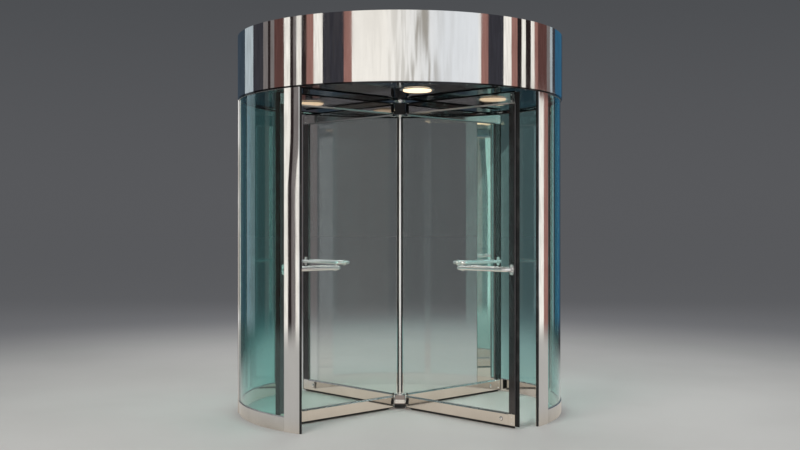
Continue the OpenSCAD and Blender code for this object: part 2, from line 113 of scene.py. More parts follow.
# The caps round the pivots: thickness, reach along the rail, soft edge, lower and upper edges, and the steps
# of their bend.
CAP_T = 0.0016
CAP_REACH = 0.022
CAP_SOFT = 0.0012
CAP_HEIGHTS = ((LOW_Z0 + 0.028, LOW_Z0 + 0.060), (HIGH_Z0 + 0.016, HIGH_Z1 - 0.010))
CAP_STEPS = 30
# The laps on the cover: half width and thickness of a rib, where the ribs lie, the screws' pitch, and how far
# inside the canopy's edge the ribs end.
LAP_HALF_W = 0.020
LAP_T = 0.0018
LAP_ROWS = (-0.63, 0.0, 0.63)
LAP_SCREW_PITCH = 0.24
COVER_INSET = 0.012
# Where the gaskets and carriers of a wing start, and the foot of the curved glass in its base rail.
GASKET_START = PIVOT_R - 0.012
CARRIER_START = PIVOT_R + 0.002
GLASS_FOOT_Z = BASE_H - 0.0018
# Sections carried along a line: distance out of the face, and distance from the edge that they sit on.
WEDGE = [(0.0, 0.0), (0.0030, 0.0), (0.0027, 0.0012), (0.0010, 0.0026), (0.0, 0.0028)]
CARRIER = [(0.0, 0.0), (0.0014, 0.0), (0.0014, 0.0052), (0.0010, 0.0060), (0.0, 0.0062)]
LAP_RIB = [(-LAP_HALF_W, 0.0), (LAP_HALF_W, 0.0), (LAP_HALF_W, 0.0012), (0.018, LAP_T), (-0.018, LAP_T),
           (-LAP_HALF_W, 0.0012)]

UP = np.array([0.0, 0.0, 1.0])
# Edges that bend by more than this many degrees stay sharp.
SHARP_ANGLE = 30.0


def turned(points, degrees):
    """Points turned about the drum's axis: x' = x cos a - y sin a, y' = x sin a + y cos a."""
    a = math.radians(degrees)
    turn = np.array([[math.cos(a), -math.sin(a), 0.0], [math.sin(a), math.cos(a), 0.0], [0.0, 0.0, 1.0]])
    return np.asarray(points) @ turn.T


def on_circle(radius, z, degrees):
    """A point at a radius and height, turned about the drum's axis from +X."""
    return turned([[radius, 0.0, z]], degrees)[0]


def circle(steps):
    """Angles evenly spaced over a full turn, in radians."""
    return np.linspace(0.0, 2.0 * math.pi, steps, endpoint=False)


def wing_angle(name):
    """The direction of a wing, in degrees from +X."""
    return WING_TURN - 45.0 + 90.0 * WINGS.index(name)


def ring_faces(rings, steps):
    """Quads between rings of points, counted ring by ring, each ring closed on itself."""
    r = np.arange(rings - 1)[:, None]
    c = np.arange(steps)[None, :]
    n = (c + 1) % steps
    quads = np.stack([r * steps + c, r * steps + n, (r + 1) * steps + n, (r + 1) * steps + c], axis=-1)
    return quads.reshape(-1, 4)


def closed(rings, first, last):
    """Rings of points joined by quads, with both ends closed by a fan on a centre point."""
    n = len(rings[0])
    i = np.arange(n)
    j = (i + 1) % n
    end = (len(rings) - 1) * n
    centre = len(rings) * n
    first_cap = np.stack([j, i, np.full(n, centre)], axis=1)
    last_cap = np.stack([end + i, end + j, np.full(n, centre + 1)], axis=1)
    points = np.concatenate(list(rings) + [[first], [last]])
    return points, ring_faces(len(rings), n), np.concatenate([first_cap, last_cap])


def carried(profile, frames):
    """A closed profile carried along a path: point = origin + u * side + v * up at each station.

    profile is n x 2, and frames is a list of (origin, side, up).
    """
    profile = np.asarray(profile, dtype=float)
    middle = profile.mean(axis=0)
    rings = [o + profile[:, :1] * s + profile[:, 1:] * u for o, s, u in frames]
    first, last = [frames[k][0] + middle[0] * frames[k][1] + middle[1] * frames[k][2] for k in (0, -1)]
    return closed(rings, first, last)


def straight(profile, start, end, side, up, back=False):
    """A profile carried straight from start to end, or back where that turns its faces outward."""
    side = np.asarray(side, dtype=float)
    up = np.asarray(up, dtype=float)
    ends = (end, start) if back else (start, end)
    return carried(profile, [(np.asarray(p, dtype=float), side, up) for p in ends])


def arc_carried(profile, a0, a1, steps):
    """A profile of radius and height carried round the drum's axis from angle a0 to a1, in degrees."""
    angles = np.radians(np.linspace(a0, a1, steps))
    return carried(profile, [(np.zeros(3), np.array([math.cos(a), math.sin(a), 0.0]), UP) for a in angles])


def revolved(profile, steps):
    """A profile of radius and height, closed on the axis at both ends, revolved a full turn about Z."""
    profile = np.asarray(profile, dtype=float)
    t = circle(steps)
    ring = np.stack([np.cos(t), np.sin(t)], axis=1)
    rings = [np.column_stack([ring * r, np.full(steps, z)]) for r, z in profile[1:-1]]
    return closed(rings, [0.0, 0.0, profile[0, 1]], [0.0, 0.0, profile[-1, 1]])


def joined(parts):
    """Several (points, quads, triangles) as one list of points and one list of faces."""
    points = []
    faces = []
    base = 0
    for p, quads, tris in parts:
        points.append(p)
        faces += (np.asarray(quads) + base).tolist()
        faces += (np.asarray(tris) + base).tolist()
        base += len(p)
    return np.concatenate(points), faces


def set_on(part, origin, normal, spin=0.0):
    """A part made round +Z moved so that +Z lies along a normal and its base is at an origin."""
    p, quads, tris = part
    n = np.asarray(normal, dtype=float)
    n = n / np.linalg.norm(n)
    a = np.cross(UP if abs(n[2]) < 0.9 else [1.0, 0.0, 0.0], n)
    a = a / np.linalg.norm(a)
    b = np.cross(n, a)
    c, s = math.cos(spin), math.sin(spin)
    x = p[:, :1] * c - p[:, 1:2] * s
    y = p[:, :1] * s + p[:, 1:2] * c
    return np.asarray(origin, dtype=float) + x * a + y * b + p[:, 2:] * n, quads, tris


def turned_part(part, degrees):
    """A part turned about the drum's axis."""
    p, quads, tris = part
    return turned(p, degrees), quads, tris


def mixed_piece(name, parts, material, body):
    """One piece from several parts, smooth between its sharp edges."""
    points, faces = joined(parts)
    mesh = bpy.data.meshes.new(name)
    mesh.from_pydata(points.tolist(), [], faces)
    mesh.validate()
    mesh.polygons.foreach_set("use_smooth", np.full(len(mesh.polygons), True))
    mesh.materials.append(material)
    obj = bpy.data.objects.new(name, mesh)
    bpy.context.scene.collection.objects.link(obj)
    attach(obj, body)
    crisp = obj.modifiers.new("crisp", "EDGE_SPLIT")
    crisp.split_angle = math.radians(SHARP_ANGLE)


def wing_piece(wing, kind, parts, material):
    """One piece on a wing: its parts are made for a wing along +X, then turned to their place."""
    placed = [turned_part(part, wing_angle(wing)) for part in parts]
    mixed_piece("wing_%s_%s" % (wing, kind), placed, material, "wing_" + wing)


def cap_screw(r, h):
    """A domed screw head with a hexagon socket: the rings go up the rim, over the dome and down the socket.

    The socket's rings are pulled to a hexagon: radius = flat / cos(angle from the middle of its side).
    """
    steps = 24
    t = circle(steps)
    hexagon = 0.5 * r / np.cos((t + math.pi / 6) % (math.pi / 3) - math.pi / 6)
    dome = [(r, 0.0), (r, 0.35 * h), (0.93 * r, 0.62 * h), (0.80 * r, 0.84 * h), (0.66 * r, h)]
    socket = [(hexagon, 0.98 * h), (hexagon, 0.35 * h)]
    rings = [np.column_stack([a * np.cos(t), a * np.sin(t), np.full(steps, z)]) for a, z in dome + socket]
    return closed(rings, [0.0, 0.0, 0.0], [0.0, 0.0, 0.3 * h])


def bossed(r, h):
    """A round boss on z = 0: a rounded rim and a shallow dome, closed on the axis at both ends.

    rim: (r - s (1 - cos t), s sin t) with s = 0.6 h, and dome: height = s + (h - s) (1 - (x / (r - s))^2).
    """
    s = 0.6 * h
    turn = np.linspace(0.0, math.pi / 2, 6)
    rim = [(r - s * (1 - math.cos(t)), s * math.sin(t)) for t in turn]
    dome = [(k * (r - s), s + (h - s) * (1 - k ** 2)) for k in (0.85, 0.65, 0.45, 0.2)]
    return revolved([(0.0, 0.0)] + rim + dome + [(0.0, h)], 40)


def stadium(length, width, height):
    """A flat bar with round ends: two half circles joined, carried up Z."""
    t = np.linspace(-math.pi / 2, math.pi / 2, 8)
    half = (length - width) / 2
    right = np.column_stack([half + width / 2 * np.cos(t), width / 2 * np.sin(t)])
    x = np.array([1.0, 0.0, 0.0])
    y = np.array([0.0, 1.0, 0.0])
    return carried(np.concatenate([right, -right]), [(np.array([0.0, 0.0, z]), x, y) for z in (0.0, height)])


def rounded_plate(w, h, t, corner, soft=0.0006):
    """A plate on z = 0 with round corners: its outline goes up and is drawn in at the top for a soft edge."""
    turn = np.linspace(0.0, math.pi / 2, 6)
    outline = []
    for k, (sx, sy) in enumerate(((1, 1), (-1, 1), (-1, -1), (1, -1))):
        a = turn + k * math.pi / 2
        centre = np.array([sx * (w / 2 - corner), sy * (h / 2 - corner)])
        outline.append(centre + corner * np.column_stack([np.cos(a), np.sin(a)]))
    outline = np.concatenate(outline)
    levels = [(1.0, 0.0), (1.0, t - soft), (1.0 - soft / w * 2, t)]
    rings = [np.column_stack([outline * k, np.full(len(outline), z)]) for k, z in levels]
    return closed(rings, [0.0, 0.0, 0.0], [0.0, 0.0, t])


class Nodes:
    """A node tree. Most calls add one node and give back its output."""

    def __init__(self, tree):
        self.tree = tree
        tree.nodes.clear()

    def node(self, kind, **values):
        """A new node with its settings."""
        made = self.tree.nodes.new(kind)
        for key, value in values.items():
            setattr(made, key, value)
        return made

    def link(self, source, target):
        self.tree.links.new(source, target)

    def feed(self, value, socket):
        """A number or a colour is set on the socket, and an output is linked to it."""
        if isinstance(value, (int, float)):
            socket.default_value = value
        elif isinstance(value, tuple):
            socket.default_value = (*value, 1.0)
        else:
            self.link(value, socket)

    def maths(self, operation, a, b=0.0):
        made = self.node("ShaderNodeMath", operation=operation)
        self.feed(a, made.inputs[0])
        self.feed(b, made.inputs[1])
        return made.outputs[0]

    def axes(self, vector):
        """The numbers of a vector, as outputs by the names X, Y and Z."""
        made = self.node("ShaderNodeSeparateXYZ")
        self.link(vector, made.inputs["Vector"])
        return made.outputs

    def ranged(self, value, low, high, to_low, to_high, smooth=True):
        """A number that goes from to_low to to_high as the value goes from low to high."""
        made = self.node("ShaderNodeMapRange", interpolation_type="SMOOTHSTEP" if smooth else "LINEAR")
        for name, number in (("From Min", low), ("From Max", high), ("To Min", to_low), ("To Max", to_high)):
            made.inputs[name].default_value = number
        self.link(value, made.inputs["Value"])
        return made.outputs["Result"]

    def cloud(self, vector, scale, detail, roughness=0.5, distortion=0.0):
        """Noise at a vector."""
        made = self.node("ShaderNodeTexNoise")
        made.inputs["Scale"].default_value = scale
        made.inputs["Detail"].default_value = detail
        made.inputs["Roughness"].default_value = roughness
        made.inputs["Distortion"].default_value = distortion
        self.link(vector, made.inputs["Vector"])
        return made.outputs["Fac"]

    def mixed(self, factor, a, b, blend="MIX"):
        """A colour between a and b, or a times b where the blend is MULTIPLY."""
        made = self.node("ShaderNodeMix", data_type="RGBA", blend_type=blend)
        self.feed(factor, made.inputs["Factor"])
        self.feed(a, made.inputs[6])
        self.feed(b, made.inputs[7])
        return made.outputs[2]

    def either(self, factor, a, b):
        """A shader between a and b."""
        made = self.node("ShaderNodeMixShader")
        self.link(factor, made.inputs["Fac"])
        self.link(a, made.inputs[1])
        self.link(b, made.inputs[2])
        return made.outputs["Shader"]

    def ramp(self, source, stops, mode):
        """A colour by a number: stops are (number, tone), and a tone is a colour or one number for a grey."""
        made = self.node("ShaderNodeValToRGB")
        made.color_ramp.interpolation = mode
        elements = made.color_ramp.elements
        while len(elements) < len(stops):
            elements.new(0.5)
        for element, (at, tone) in zip(elements, stops):
            element.position = at
        for element, (at, tone) in zip(sorted(elements, key=lambda e: e.position), stops):
            element.color = (*tone, 1.0) if isinstance(tone, tuple) else (tone, tone, tone, 1.0)
        self.link(source, made.inputs["Fac"])
        return made.outputs["Color"]


class Finish(Nodes):
    """A node material for one surface, built on Object coordinates."""

    def __init__(self, name):
        self.mat = bpy.data.materials.new(name)
        self.mat.use_nodes = True
        super().__init__(self.mat.node_tree)
        self.out = self.node("ShaderNodeOutputMaterial")
        self.shader = self.node("ShaderNodeBsdfPrincipled")
        self.link(self.shader.outputs["BSDF"], self.out.inputs["Surface"])
        self.place = self.node("ShaderNodeTexCoord")

    def set(self, **values):
        """Fixed numbers and colours go straight on the shader's sockets."""
        for key, value in values.items():
            self.shader.inputs[key.replace("_", " ").title().replace("Ior", "IOR")].default_value = value
        return self

    def noise(self, scale, detail, roughness=0.5, stretch=(1.0, 1.0, 1.0), distortion=0.0):
        """Noise on Object coordinates times a stretch along each axis."""
        mapping = self.node("ShaderNodeMapping")
        mapping.inputs["Scale"].default_value = stretch
        self.link(self.place.outputs["Object"], mapping.inputs["Vector"])
        return self.cloud(mapping.outputs["Vector"], scale, detail, roughness, distortion)

    def where(self):
        """The place on the object, as outputs by the names X, Y and Z; Z is the height above the floor."""
        return self.axes(self.place.outputs["Object"])

    def bump(self, height, strength, distance):
        made = self.node("ShaderNodeBump")
        made.inputs["Strength"].default_value = strength
        made.inputs["Distance"].default_value = distance
        self.link(height, made.inputs["Height"])
        self.link(made.outputs["Normal"], self.shader.inputs["Normal"])

    def colour(self, socket):
        self.link(socket, self.shader.inputs["Base Color"])

    def rough(self, socket):
        self.link(socket, self.shader.inputs["Roughness"])

    def surface(self, shader):
        """Another shader takes the place of the plain one on the surface."""
        self.link(shader, self.out.inputs["Surface"])


STEEL_TONE = (0.80, 0.79, 0.775)
FILM_TONE = (0.30, 0.265, 0.23)
FILM_H = 0.20
DUST_AND_SHADE_TONE = (0.36, 0.345, 0.35)


def polished_steel(name, tone=STEEL_TONE, dirt=0.0, sheet_wave=0.0, gloss=0.028, metal=1.0, dust=0.0):
    """Polished stainless: hand marks and wiping streaks in the gloss.

    A film of dirt grows towards the floor, and dust lies on faces that look up; on those faces it is also
    painted shade, which dims the bright reflection on the rails' top bevels.
    """
    f = Finish(name).set(metallic=metal)
    wiped = f.noise(3.0, 6.0, 0.62, stretch=(1.0, 1.0, 0.35), distortion=0.4)
    streak = f.noise(38.0, 3.0, 0.6, stretch=(1.0, 1.0, 0.05))
    dull = f.ranged(wiped, 0.42, 0.72, gloss, gloss + 0.055)
    dull = f.maths("ADD", dull, f.ranged(streak, 0.5, 0.8, 0.0, 0.035))
    shade = f.mixed(f.ranged(wiped, 0.35, 0.75, 0.0, 1.0), tone, tuple(c * 0.93 for c in tone))
    if dirt:
        film = f.noise(3.5, 3.0)
        splash = f.noise(60.0, 2.0)
        low = f.maths("POWER", f.ranged(f.where()["Z"], 0.0, FILM_H, 1.0, 0.0, smooth=False), 1.6)
        marks = f.maths("MULTIPLY", low, f.ranged(film, 0.25, 0.75, 0.35, 1.0))
        marks = f.maths("ADD", marks, f.maths("MULTIPLY", low, f.ranged(splash, 0.62, 0.76, 0.0, 0.16)))
        marks = f.maths("MULTIPLY", marks, dirt)
        shade = f.mixed(marks, shade, FILM_TONE)
        dull = f.maths("ADD", dull, f.maths("MULTIPLY", marks, 0.30))
    if dust:
        # Dust and painted shade on faces that look up: a darker, duller tone that dims their reflection.
        level = f.ranged(f.axes(f.place.outputs["Normal"])["Z"], 0.25, 0.6, 0.0, 1.0)
        dust_and_painted_shade = f.maths("MULTIPLY", level, f.ranged(wiped, 0.3, 0.7, dust, 1.0))
        shade = f.mixed(dust_and_painted_shade, shade, DUST_AND_SHADE_TONE)
        dull = f.maths("ADD", dull, f.maths("MULTIPLY", dust_and_painted_shade, 0.22))
    f.colour(shade)
    f.rough(dull)
    if sheet_wave:
        f.bump(f.noise(2.2, 1.0, 0.4, stretch=(1.0, 1.0, 0.5)), 1.0, sheet_wave)
    return f.mat


def satin_black(name, shine=(0.26, 0.38), dark=(0.020, 0.020, 0.022), worn=(0.045, 0.044, 0.044)):
    """Black anodised aluminium: a fine drawn grain up the section and a film of dust."""
    f = Finish(name).set(metallic=0.85)
    grain = f.noise(900.0, 2.0, 0.6, stretch=(1.0, 1.0, 0.012))
    dust = f.noise(6.0, 6.0, 0.6)
    f.colour(f.mixed(f.ranged(dust, 0.4, 0.75, 0.0, 1.0), dark, worn))
    f.rough(f.ranged(grain, 0.3, 0.7, shine[0], shine[1]))
    f.bump(grain, 0.15, 0.00005)
    return f.mat


def dark_ceiling():
    """Black gloss panel over the wings, with a little haze."""
    f = Finish("black_gloss_panel").set(metallic=0.0, ior=1.45, specular_ior_level=0.22)
    haze = f.noise(2.4, 5.0, 0.55)
    f.colour(f.mixed(f.ranged(haze, 0.35, 0.7, 0.0, 1.0), (0.010, 0.010, 0.013), (0.018, 0.018, 0.022)))
    f.rough(f.ranged(haze, 0.35, 0.7, 0.03, 0.09))
    return f.mat


def rubber(name, tone=(0.012, 0.012, 0.012), dusty=(0.055, 0.053, 0.050)):
    """Rubber: matt, with a fine pebble and grey dust on it."""
    f = Finish(name).set(metallic=0.0, specular_ior_level=0.35)
    pebble = f.noise(1400.0, 2.0)
    dust = f.noise(9.0, 6.0, 0.65)
    f.colour(f.mixed(f.ranged(dust, 0.45, 0.8, 0.0, 1.0), tone, dusty))
    f.rough(f.ranged(pebble, 0.3, 0.7, 0.55, 0.78))
    f.bump(pebble, 0.3, 0.0001)
    return f.mat


def cover_sheet():
    """Galvanised cover on the canopy: spangle, and dust in patches."""
    f = Finish("galvanised_cover").set(metallic=0.8)
    cells = f.node("ShaderNodeTexVoronoi", feature="F1")
    cells.inputs["Scale"].default_value = 45.0
    f.link(f.place.outputs["Object"], cells.inputs["Vector"])
    spangle = f.ranged(cells.outputs["Color"], 0.0, 1.0, 0.0, 1.0)
    dust = f.noise(3.5, 7.0, 0.62)
    bare = f.mixed(spangle, (0.30, 0.31, 0.32), (0.40, 0.41, 0.42))
    f.colour(f.mixed(f.ranged(dust, 0.34, 0.78, 0.0, 0.75), bare, (0.225, 0.215, 0.20)))
    f.rough(f.ranged(dust, 0.4, 0.7, 0.42, 0.85))
    f.bump(f.noise(14.0, 3.0), 0.2, 0.0006)
    return f.mat


def glass(name, tint, shade):
    """Float glass: refracting and faintly green, with wiping haze; lamps shine through it."""
    f = Finish(name).set(transmission_weight=1.0, ior=1.5, base_color=(*tint, 1.0))
    haze = f.noise(5.0, 6.0, 0.6, stretch=(1.0, 1.0, 0.6), distortion=0.5)
    f.rough(f.ranged(haze, 0.5, 0.8, 0.0, 0.035))
    lets = f.node("ShaderNodeBsdfTransparent")
    f.feed(shade, lets.inputs["Color"])
    path = f.node("ShaderNodeLightPath")
    f.surface(f.either(path.outputs["Is Shadow Ray"], f.shader.outputs["BSDF"], lets.outputs["BSDF"]))
    return f.mat


def lit_lens():
    """Warm lit lens of a downlight, with a faintly prismatic face."""
    f = Finish("warm_lit_lens").set(roughness=0.3, emission_strength=1.6)
    facet = f.ranged(f.noise(160.0, 2.0), 0.3, 0.7, 0.0, 1.0)
    f.colour(f.mixed(facet, (0.90, 0.74, 0.50), (1.0, 0.86, 0.64)))
    f.link(f.mixed(facet, (0.95, 0.66, 0.38), (1.0, 0.79, 0.52)), f.shader.inputs["Emission Color"])
    return f.mat


def pale_floor():
    """Plain pale studio floor that falls into shade away from the part: distance = |(x, y)|.

    Polished metal sees a painted reflection instead, an even glow: warm inside the drum, neutral in front and
    dark behind. From 5.5 m to 9.5 m off it fades away there, so that the ring of cards is mirrored down to
    the horizon.
    """
    f = Finish("pale_studio_floor").set(roughness=0.9, specular_ior_level=0.0)
    soft = f.noise(0.6, 3.0)
    pale = f.mixed(f.ranged(soft, 0.3, 0.7, 0.0, 1.0), (0.56, 0.55, 0.53), (0.60, 0.59, 0.57))
    reach = f.node("ShaderNodeVectorMath", operation="LENGTH")
    f.link(f.place.outputs["Object"], reach.inputs[0])
    away = reach.outputs["Value"]
    f.colour(f.mixed(f.ranged(away, 2.0, 8.5, 0.0, 1.0), pale, (0.235, 0.235, 0.245)))
    # Painted reflection: what polished metal sees of the floor is a glow, warm inside the drum, neutral in
    # front and dark behind.
    front = f.mixed(f.ranged(away, 0.9, 1.9, 0.0, 1.0), (0.57, 0.52, 0.445), (0.52, 0.51, 0.49))
    painted_reflection_glow = f.mixed(f.ranged(f.where()["Y"], 0.5, 4.0, 0.0, 1.0), front, (0.05, 0.05, 0.055))
    mirrored = f.node("ShaderNodeEmission")
    f.link(painted_reflection_glow, mirrored.inputs["Color"])
    path = f.node("ShaderNodeLightPath")
    seen = f.maths("MINIMUM", path.outputs["Glossy Depth"], 1.0)
    lit = f.either(seen, f.shader.outputs["BSDF"], mirrored.outputs["Emission"])
    clear = f.node("ShaderNodeBsdfTransparent")
    gone = f.maths("MULTIPLY", seen, f.ranged(away, 5.5, 9.5, 0.0, 1.0))
    f.surface(f.either(gone, lit, clear.outputs["BSDF"]))
    return f.mat


band_steel = polished_steel("polished_canopy_steel", sheet_wave=0.0002)
post_steel = polished_steel("polished_post_steel", dirt=0.30, sheet_wave=0.0006)
base_steel = polished_steel("polished_base_steel", tone=(0.76, 0.755, 0.74), dirt=0.55, dust=0.6)
rail_steel = polished_steel("polished_rail_steel", tone=(0.85, 0.82, 0.785), dirt=0.30, dust=0.8)
# The top rails' steel is a darker copy of the polished steel: painted shade for the dark zone under the
# canopy.
painted_shade_head_steel = polished_steel("polished_head_steel", tone=(0.40, 0.395, 0.41))
# The bottom hub's steel is a darker, mauve copy of the polished steel: painted shade that holds down its
# reflection.
painted_shade_hub_steel = polished_steel("dull_hub_steel", tone=(0.42, 0.385, 0.40), dirt=0.4, gloss=0.10)
bar_steel = polished_steel("satin_bar_steel", tone=(0.97, 0.96, 0.945), gloss=0.15, metal=0.8)
plate_steel = polished_steel("bright_plate_steel", tone=(0.97, 0.96, 0.96), gloss=0.22)
shaft_tube = polished_steel("satin_shaft_tube", tone=(0.98, 0.965, 0.94), gloss=0.15, metal=0.75)
black_metal = satin_black("satin_black_anodised")
stile_metal = satin_black("dark_glossy_anodised", (0.10, 0.18), (0.085, 0.083, 0.088), (0.115, 0.110, 0.112))
gloss_black = satin_black("gloss_black_lip", (0.05, 0.10), (0.025, 0.025, 0.027), (0.040, 0.040, 0.042))
black_rubber = rubber("black_rubber_seal")
grey_seal = rubber("grey_glazing_seal", (0.26, 0.26, 0.255), (0.34, 0.335, 0.32))
galvanised = cover_sheet()
wall_glass = glass("curved_wall_glass", (0.47, 0.79, 0.765), (0.75, 0.92, 0.88))
wing_glass = glass("wing_pane_glass", (0.94, 0.97, 0.955), (0.95, 0.98, 0.97))

FINISH_OF = {
    "canopy_fascia_front": band_steel,
    "canopy_fascia_rear": band_steel,
    "canopy_cover": galvanised,
    "canopy_lip": gloss_black,
    "ceiling_panel": dark_ceiling(),
    "downlight_trims": bar_steel,
    "downlight_lenses": lit_lens(),
    "rotor_bearings": bar_steel,
    "front_posts": post_steel,
    "wall_posts": post_steel,
    "rear_posts": post_steel,
    "edge_guards": black_rubber,
    "front_wall_glass": wall_glass,
    "rear_wall_glass": wall_glass,
    "front_base_rails": base_steel,
    "rear_base_rails": base_steel,
    "centre_shaft": shaft_tube,
    "shaft_seals": black_rubber,
    "bottom_hub": painted_shade_hub_steel,
    "top_hub": black_metal,
    "fold_pins": bar_steel,
}
WING_FINISH = {
    "glass": wing_glass,
    # The top rails take the darker steel, which is painted shade.
    "top_rail": painted_shade_head_steel,
    "bottom_rail": rail_steel,
    "stile": stile_metal,
    "sweeps": black_rubber,
    "push_bars": bar_steel,
}
for wing in WINGS:
    for part_name, finish in WING_FINISH.items():
        FINISH_OF["wing_%s_%s" % (wing, part_name)] = finish
for name, obj in nodes.items():
    obj.data.materials.clear()
    obj.data.materials.append(FINISH_OF[name])


def wing_gaskets(wing):
    """Grey glazing wedges where a wing's glass meets its rails and stile, on both faces."""
    parts = []
    for side in (1.0, -1.0):
        out = np.array([0.0, side, 0.0])
        y = side * (GLASS_T / 2)
        for z, up in ((LOW_Z1, 1.0), (HIGH_Z0, -1.0)):
            ends = [GASKET_START, y, z], [STILE_R0, y, z]
            parts.append(straight(WEDGE, *ends, out, [0.0, 0.0, up], side * up < 0))
        ends = [STILE_R0, y, LOW_Z1], [STILE_R0, y, HIGH_Z0]
        parts.append(straight(WEDGE, *ends, out, [-1.0, 0.0, 0.0], side < 0))
    wing_piece(wing, "gaskets", parts, grey_seal)


def wing_screws(wing):
    """Cap screws on both faces: two on a bar's flange, and two on each rail's end block."""
    parts = []
    for side in (1.0, -1.0):
        out = np.array([0.0, side, 0.0])
        for dz in (-1.0, 1.0):
            spot = [BAR_OUT, side * (STILE_T / 2 + FIXING_T), BAR_Z + dz * (FLANGE_H / 2 - BAR_SCREW_INSET)]
            parts.append(set_on(cap_screw(*BAR_SCREW), spot, out))
            for z in (LOW_BLOCK_Z, HIGH_BLOCK_Z):
                spot = [(STILE_R0 + STILE_R1) / 2, side * RAIL_T / 2, z + dz * BLOCK_SCREW_HALF]
                parts.append(set_on(cap_screw(*BLOCK_SCREW), spot, out))
    wing_piece(wing, "screws", parts, bar_steel)


def wing_locks(wing):
    """A floor bolt's lock on both faces of a bottom rail: a dark ring of painted shade, a bright barrel and
    its keyway.
    """
    rings = []
    barrels = []
    for side in (1.0, -1.0):
        out = np.array([0.0, side, 0.0])
        spot = np.array([LOCK_R, side * RAIL_T / 2, LOW_BLOCK_Z])
        seat = spot + LOCK_SEAT * out
        # The dark ring round the barrel is painted shade.
        rings.append(set_on(bossed(*LOCK_SHADE_RING), spot, out))
        barrels.append(set_on(bossed(*LOCK_BARREL), seat, out))
        rings.append(set_on(stadium(*LOCK_KEYWAY), seat, out, math.pi / 2))
    wing_piece(wing, "lock_rings", rings, black_metal)
    wing_piece(wing, "lock_barrels", barrels, plate_steel)


def pivot_caps(wing):
    """Dark caps on the inner ends of a wing's rails: thin shells along a face, round the pivot and back."""
    parts = []
    bend = [(a, 0.0) for a in np.linspace(90.0, 270.0, CAP_STEPS)]
    around = [(90.0, CAP_REACH)] + bend + [(270.0, CAP_REACH)]
    for low, high in CAP_HEIGHTS:
        skin = [(0.0, low), (CAP_T, low + CAP_SOFT), (CAP_T, high - CAP_SOFT), (0.0, high)]
        frames = []
        for degrees, reach in around:
            a = math.radians(degrees)
            out = np.array([math.cos(a), math.sin(a), 0.0])
            frames.append((np.array([PIVOT_R + reach, 0.0, 0.0]) + RAIL_T / 2 * out, out, UP))
        parts.append(carried(skin, frames))
    wing_piece(wing, "pivot_caps", parts, black_metal)


def sweep_carriers_painted_shade(wing):
    """Black strips that hold the sweep, along the foot of a bottom rail's faces, rounded at their tops; they
    also paint the shadow of the gap over the floor.
    """
    parts = []
    for side in (1.0, -1.0):
        y = side * RAIL_T / 2
        ends = [CARRIER_START, y, LOW_Z0], [STILE_R1, y, LOW_Z0]
        parts.append(straight(CARRIER, *ends, [0.0, side, 0.0], UP, side < 0))
    wing_piece(wing, "carriers", parts, black_rubber)


def wall_gaskets():
    """Grey glazing wedges round the curved glass: on the base rails, under the lip and down the posts."""
    parts = []
    post_a = SIDE_HALF_ANGLE - math.degrees(POST_W / WALL_MID_R)
    wall_a = math.degrees(math.asin(WALL_POST_W / 2 / WALL_MID_R))
    for quarter in range(4):
        turn = 180.0 * (quarter // 2)
        flip = 1.0 if quarter % 2 == 0 else -1.0
        a0, a1 = sorted((flip * wall_a, flip * post_a))
        for out in (1.0, -1.0):
            r = WALL_MID_R + out * WALL_GLASS_T / 2
            for z, up in ((GLASS_FOOT_Z, 1.0), (CLEAR_H, -1.0)):
                wedge = [(r + out * u, z + up * v) for u, v in WEDGE]
                if out * up > 0:
                    wedge = wedge[::-1]
                parts.append(turned_part(arc_carried(wedge, a0, a1, 60), turn))
            for angle, way in ((flip * wall_a, flip), (flip * post_a, -flip)):
                a = math.radians(angle)
                radial = np.array([math.cos(a), math.sin(a), 0.0])
                along = np.array([-math.sin(a), math.cos(a), 0.0]) * way
                ends = [radial * r + z * UP for z in (GLASS_FOOT_Z, CLEAR_H)]
                parts.append(turned_part(straight(WEDGE, *ends, radial * out, along, out * way > 0), turn))
    mixed_piece("wall_glass_gaskets", parts, grey_seal, "enclosure")


def hub_plates(name, z, arm_screws, finish):
    """A cover plate with two cap screws on each face of a hub's core, and cap screws on its arms.

    arm_screws is a list of (height, radius).
    """
    parts = []
    for k in range(4):
        face = WING_TURN + 90.0 * k
        plate = set_on(rounded_plate(*HUB_PLATE), [CORE_W / 2, 0.0, z], [1, 0, 0])
        parts.append(turned_part(plate, face))
        for y in (-PLATE_SCREW_HALF, PLATE_SCREW_HALF):
            screw = set_on(cap_screw(*PLATE_SCREW), [CORE_W / 2 + HUB_PLATE[2], y, z], [1, 0, 0])
            parts.append(turned_part(screw, face))
        for height, reach in arm_screws:
            screw = set_on(cap_screw(*ARM_SCREW), [reach, 0.0, height], [0, 0, 1])
            parts.append(turned_part(screw, face - 45.0))
    mixed_piece(name, parts, finish, "rotor")


def hub_skirts_painted_shade():
    """Black rubber strips round the foot of the bottom hub's core, which close the gap over the floor and
    paint the shadow under the hub.
    """
    strip = set_on(rounded_plate(*HUB_SKIRT), [CORE_W / 2, 0.0, SKIRT_Z], [1, 0, 0])
    parts = [turned_part(strip, WING_TURN + 90.0 * k) for k in range(4)]
    mixed_piece("hub_skirts_painted_shade", parts, black_rubber, "rotor")


def ceiling_screws():
    """Cap screws round the bearing collar and along the canopy's lip over the entries."""
    parts = []
    for degrees in COLLAR_SCREW_ANGLES:
        spot = on_circle(COLLAR_R - COLLAR_SCREW_INSET, COLLAR_Z, degrees)
        parts.append(set_on(cap_screw(*COLLAR_SCREW), spot, [0, 0, -1]))
    for degrees in LIP_SCREW_ANGLES:
        spot = on_circle(LIP_SCREW_R, CLEAR_H, degrees)
        parts.append(set_on(cap_screw(*LIP_SCREW), spot, [0, 0, -1]))
    mixed_piece("ceiling_screws", parts, bar_steel, "enclosure")


